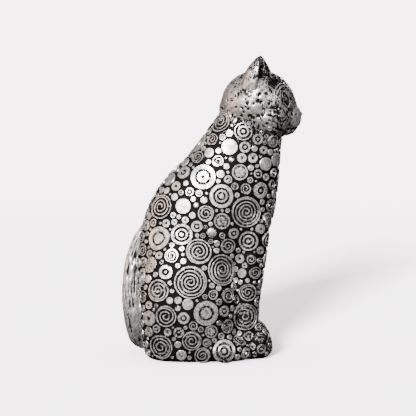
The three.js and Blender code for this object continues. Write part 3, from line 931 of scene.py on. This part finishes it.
# Small rings and discs stuck on the cheeks and the back of the head: kind, x, z and radius in millimetres.
CHEEK_RINGS = [
    ("dotted", 16.0, 205.5, 1.6), ("ring", 8.0, 191.0, 2.4), ("bead", 18.5, 193.5, 1.5),
    ("rimmed", 29.5, 187.5, 3.6), ("ring", 14.5, 179.5, 2.3), ("dotted", 39.0, 180.0, 2.0),
    ("disc", 29.0, 175.5, 2.0), ("rimmed", 26.5, 168.5, 4.0), ("ring", 33.0, 172.0, 2.0),
    ("dotted", 37.0, 170.8, 1.7), ("bead", 45.5, 197.5, 1.5), ("bead", 10.0, 199.5, 1.3),
    ("ring", 45.5, 183.0, 2.1), ("bead", 24.0, 204.5, 1.2), ("bead", 50.0, 190.0, 1.4),
    ("ring", 21.5, 182.0, 2.2),
]
for side in SIDES:
    tray = Tray()
    for kind, x, z, radius in CHEEK_RINGS:
        point, normal = side_hit(x * MM, z * MM, side, face_clay)
        if point is not None and point.z > sprig_line(point.x):
            make_sprig(Spot(point, normal, radius * MM, kind), tray, rng)
    proud = [0.8 * p for p in tray.proud]
    rings_piece = finished(f"cheek_rings_{side}", tray.bm, sprig_silver, proud, crisp=26)
    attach(rings_piece, "root")


# ---- Felt pads -------------------------------------------------------------------------------------
# Four round pads punched from grey felt are glued under the foot, so that the clay doesn't scratch the
# table.

felt, nodes, links, shader = new_material("grey_felt")
place = nodes.new("ShaderNodeTexCoord")
fibres = nodes.new("ShaderNodeTexNoise")
fibres.inputs["Scale"].default_value = 1800
fibres.inputs["Detail"].default_value = 6
fibres.inputs["Distortion"].default_value = 1.5
links.new(place.outputs["Object"], fibres.inputs["Vector"])
felt_tone = nodes.new("ShaderNodeMix")
felt_tone.data_type = "RGBA"
felt_tone.inputs[6].default_value = (0.035, 0.035, 0.037, 1)
felt_tone.inputs[7].default_value = (0.11, 0.11, 0.115, 1)
links.new(fibres.outputs["Fac"], felt_tone.inputs[0])
links.new(felt_tone.outputs[2], shader.inputs["Base Color"])
shader.inputs["Roughness"].default_value = 0.95
shader.inputs["Sheen Weight"].default_value = 0.4
fuzz = nodes.new("ShaderNodeBump")
fuzz.inputs["Strength"].default_value = 0.6
fuzz.inputs["Distance"].default_value = 0.0002
links.new(fibres.outputs["Fac"], fuzz.inputs["Height"])
links.new(fuzz.outputs["Normal"], shader.inputs["Normal"])
for name in [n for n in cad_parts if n.startswith("felt_pad")]:
    low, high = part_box(name)
    pad = bmesh.new()
    wide = (high.x - low.x) / 2
    bmesh.ops.create_cone(pad, cap_ends=True, segments=48, radius1=wide, radius2=wide, depth=high.z - low.z)
    bmesh.ops.translate(pad, verts=pad.verts[:], vec=(low + high) / 2)
    corners = [e for e in pad.edges if abs(e.verts[0].co.z - e.verts[1].co.z) < 1e-6]
    bmesh.ops.bevel(pad, geom=corners, offset=0.2 * MM, segments=3, affect="EDGES",
                    profile=0.5, material=-1)
    pad_piece = finished(name + "_punched", pad, felt, crisp=40)
    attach(pad_piece, "root")
    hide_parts(name)


# ---- Small sprigs ----------------------------------------------------------------------------------
# Smaller spirals, rings, discs and beads fill the ground between the large sprigs. They are stuck on
# one by one, largest first, wherever the next size still fits.

# Those on the right flank are laid one by one: kind, x, z and radius in millimetres.
RIGHT_FLANK = [
    ("spiral", 1.0, 174.0, 5.0), ("dotted", 26.0, 168.5, 4.5), ("ring", 23.5, 160.0, 3.8),
    ("ring", 32.0, 160.0, 4.0), ("disc", 42.0, 155.0, 5.4), ("spiral", 5.0, 157.5, 4.5),
    ("spiral", -10.5, 160.0, 5.4), ("rimmed", 22.0, 149.0, 6.4), ("target", -21.5, 148.0, 5.5),
    ("spiral", 18.0, 138.0, 3.1), ("spiral", 26.5, 136.0, 4.4), ("target", 38.0, 134.5, 6.4),
    ("dotted", -17.0, 133.5, 3.5), ("ring", -27.5, 137.5, 4.0), ("disc", -22.0, 122.5, 6.2),
    ("spiral", -4.5, 117.0, 6.4), ("rimmed", 8.0, 111.0, 6.4), ("dotted", -11.5, 107.0, 4.5),
    ("spiral", 12.5, 91.5, 6.0), ("spiral", -31.0, 84.5, 5.5), ("disc", -47.5, 76.5, 6.6),
    ("target", -35.5, 72.0, 5.6), ("spiral", 34.0, 70.0, 5.0), ("spiral", 1.0, 54.5, 4.0),
    ("spiral", 12.5, 53.0, 6.0), ("disc", -18.5, 47.5, 4.5), ("disc", -26.0, 50.5, 3.0),
    ("disc", -32.5, 48.0, 2.6), ("ring", -48.5, 35.5, 6.4), ("rimmed", -0.5, 26.0, 6.0),
    ("disc", -23.5, 7.5, 5.4), ("dotted", 29.0, 19.5, 4.0), ("ring", 38.0, 18.0, 4.4),
    ("dotted", 39.0, 9.5, 4.0), ("ring", 31.5, 11.5, 3.0), ("ring", -34.0, 25.5, 3.8),
    ("dotted", -25.5, 25.5, 4.2), ("ring", -28.5, 17.5, 3.8), ("ring", 22.5, 81.0, 3.8),
    ("spiral", 31.0, 80.5, 3.8), ("disc", 24.0, 69.5, 3.8), ("ring", 38.0, 104.5, 4.0),
    ("ring", 38.0, 87.5, 3.2), ("ring", -51.0, 106.0, 4.2), ("spiral", -54.0, 87.0, 5.0),
    ("disc", 4.0, 93.5, 2.5), ("bead", 15.5, 159.0, 2.5), ("disc", 11.5, 153.5, 3.3),
    ("disc", 7.0, 147.5, 3.3), ("disc", 5.5, 165.5, 2.5), ("disc", -20.0, 140.0, 2.4),
    ("bead", -12.0, 123.5, 2.4), ("disc", -6.0, 127.5, 2.9), ("disc", -15.0, 115.5, 2.9),
    ("ring", -29.0, 110.0, 2.5), ("dome", 0.0, 102.0, 4.2), ("disc", -22.0, 80.5, 2.5),
    ("dotted", 36.0, 147.5, 3.6), ("ring", 40.5, 166.0, 3.4),
]
GAP = 0.55 * MM  # bare clay left between two sprigs
LOW_LINE = 3.0 * MM  # the foot stays bare below this height


def below_head(p):
    """Whether a point is in the sprigged part: under the line from the nape down to the throat."""
    return p.z < sprig_line(p.x)


def level(point, normal, radius):
    """Whether the clay is level enough under a sprig of that radius to take it."""
    side = normal.orthogonal().normalized()
    for i in range(6):
        spoke = Matrix.Rotation(i * math.pi / 3, 3, normal) @ side
        hit, _, _, _ = clay.ray_cast(point + spoke * radius + normal * 8 * MM, -normal, 16 * MM)
        if hit is None or abs((hit - point).dot(normal)) > 0.18 * MM + 0.42 * radius:
            return False
    return True


def in_the_open(point, normal):
    """Whether a point is on the outside of the shells: some level or rising line from it meets no clay."""
    for i in range(9):
        turn = Matrix.Rotation((i // 2 + i % 2) * (-1) ** i * 0.35, 3, "Z")
        way = turn @ Vector((normal.x, normal.y, max(normal.z, 0.0)))
        if clay.ray_cast(point + normal * 0.4 * MM, way)[0] is None:
            return True
    return False


# Every place on the clay where a sprig's middle could go, and the room there is at each.
places = [(v.co.copy(), v.normal.copy()) for v in open_clay.verts
          if below_head(v.co) and v.co.z > LOW_LINE + 0.7 * MM and in_the_open(v.co, v.normal)]
open_clay.free()
at = np.array([p for p, _ in places])
room = np.minimum(at[:, 2] - LOW_LINE, 12 * MM)
for i in range(0, STATIONS, 3):
    room = np.minimum(room, np.linalg.norm(at - np.array(line[i]), axis=1) - girth(i / (STATIONS - 1)))
given_up = np.zeros(len(at), dtype=bool)


def claim(spot):
    """Takes a sprig's footprint off the room left round it."""
    gaps = np.linalg.norm(at - np.array(spot.point), axis=1) - spot.radius - GAP
    np.minimum(room, gaps, out=room)


for spot in spots:
    claim(spot)
for kind, x, z, radius in RIGHT_FLANK:
    point, normal = side_hit(x * MM, z * MM, "right", clay)
    if point is None:
        continue
    nearest = int(np.argmin(np.linalg.norm(at - np.array(point), axis=1)))
    fits = min(float(room[nearest]) + 0.3 * MM, radius * MM)
    if fits > 0.6 * radius * MM:
        spots.append(Spot(point, normal, fits, kind))
        claim(spots[-1])

# Kinds to draw from, by the least radius they are made at.
KINDS = [
    (7.5, ["spiral", "spiral", "target", "eye"]),
    (5.0, ["spiral", "spiral", "target", "rimmed", "disc"]),
    (3.2, ["spiral", "spiral", "ring", "dotted", "disc", "dotted"]),
    (1.5, ["ring", "disc", "dotted", "ring"]),
    (0.0, ["bead"]),
]
WIDEST, SMALLEST, SHRINK = 9.6, 1.15, 0.93  # radii in millimetres, and the step down between sizes
NEEDS_LEVEL = 2.4  # smaller sprigs follow the clay wherever they are put
widest = WIDEST
while widest > SMALLEST:
    free = np.flatnonzero((room >= widest * MM) & (room < 1.25 * widest * MM) & ~given_up)
    if len(free) == 0:
        free = np.flatnonzero((room >= widest * MM) & ~given_up)
    if len(free) == 0:
        widest *= SHRINK
        given_up[:] = False
        continue
    i = int(free[rng.randrange(len(free))])
    point, normal = places[i]
    if widest > NEEDS_LEVEL and not level(point, normal, widest * MM):
        given_up[np.linalg.norm(at - at[i], axis=1) < 0.15 * widest * MM] = True
        if widest * SHRINK < NEEDS_LEVEL or len(free) < 3:
            widest *= SHRINK
            given_up[:] = False
        continue
    radius = min(float(room[i]) / MM, widest * rng.uniform(0.85, 1.2))
    kinds = next(k for size, k in KINDS if radius >= size)
    spots.append(Spot(point, normal, radius * MM, rng.choice(kinds)))
    claim(spots[-1])
    if widest > 3.4 and rng.random() < (0.3 if widest > 6.5 else 0.12):
        widest *= 0.95
        given_up[:] = False

trays = {}
for spot in spots[len(NAMED):]:
    if spot.normal.y < -0.6:
        where = "right"
    elif spot.normal.y > 0.6:
        where = "left"
    else:
        where = "chest" if spot.normal.x > 0 else "back"
    make_sprig(spot, trays.setdefault(where, Tray()), rng)
for where, tray in trays.items():
    piece = finished("small_sprigs_" + where, tray.bm, sprig_silver, tray.proud, crisp=26)
    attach(piece, "root")

bpy.context.view_layer.update()
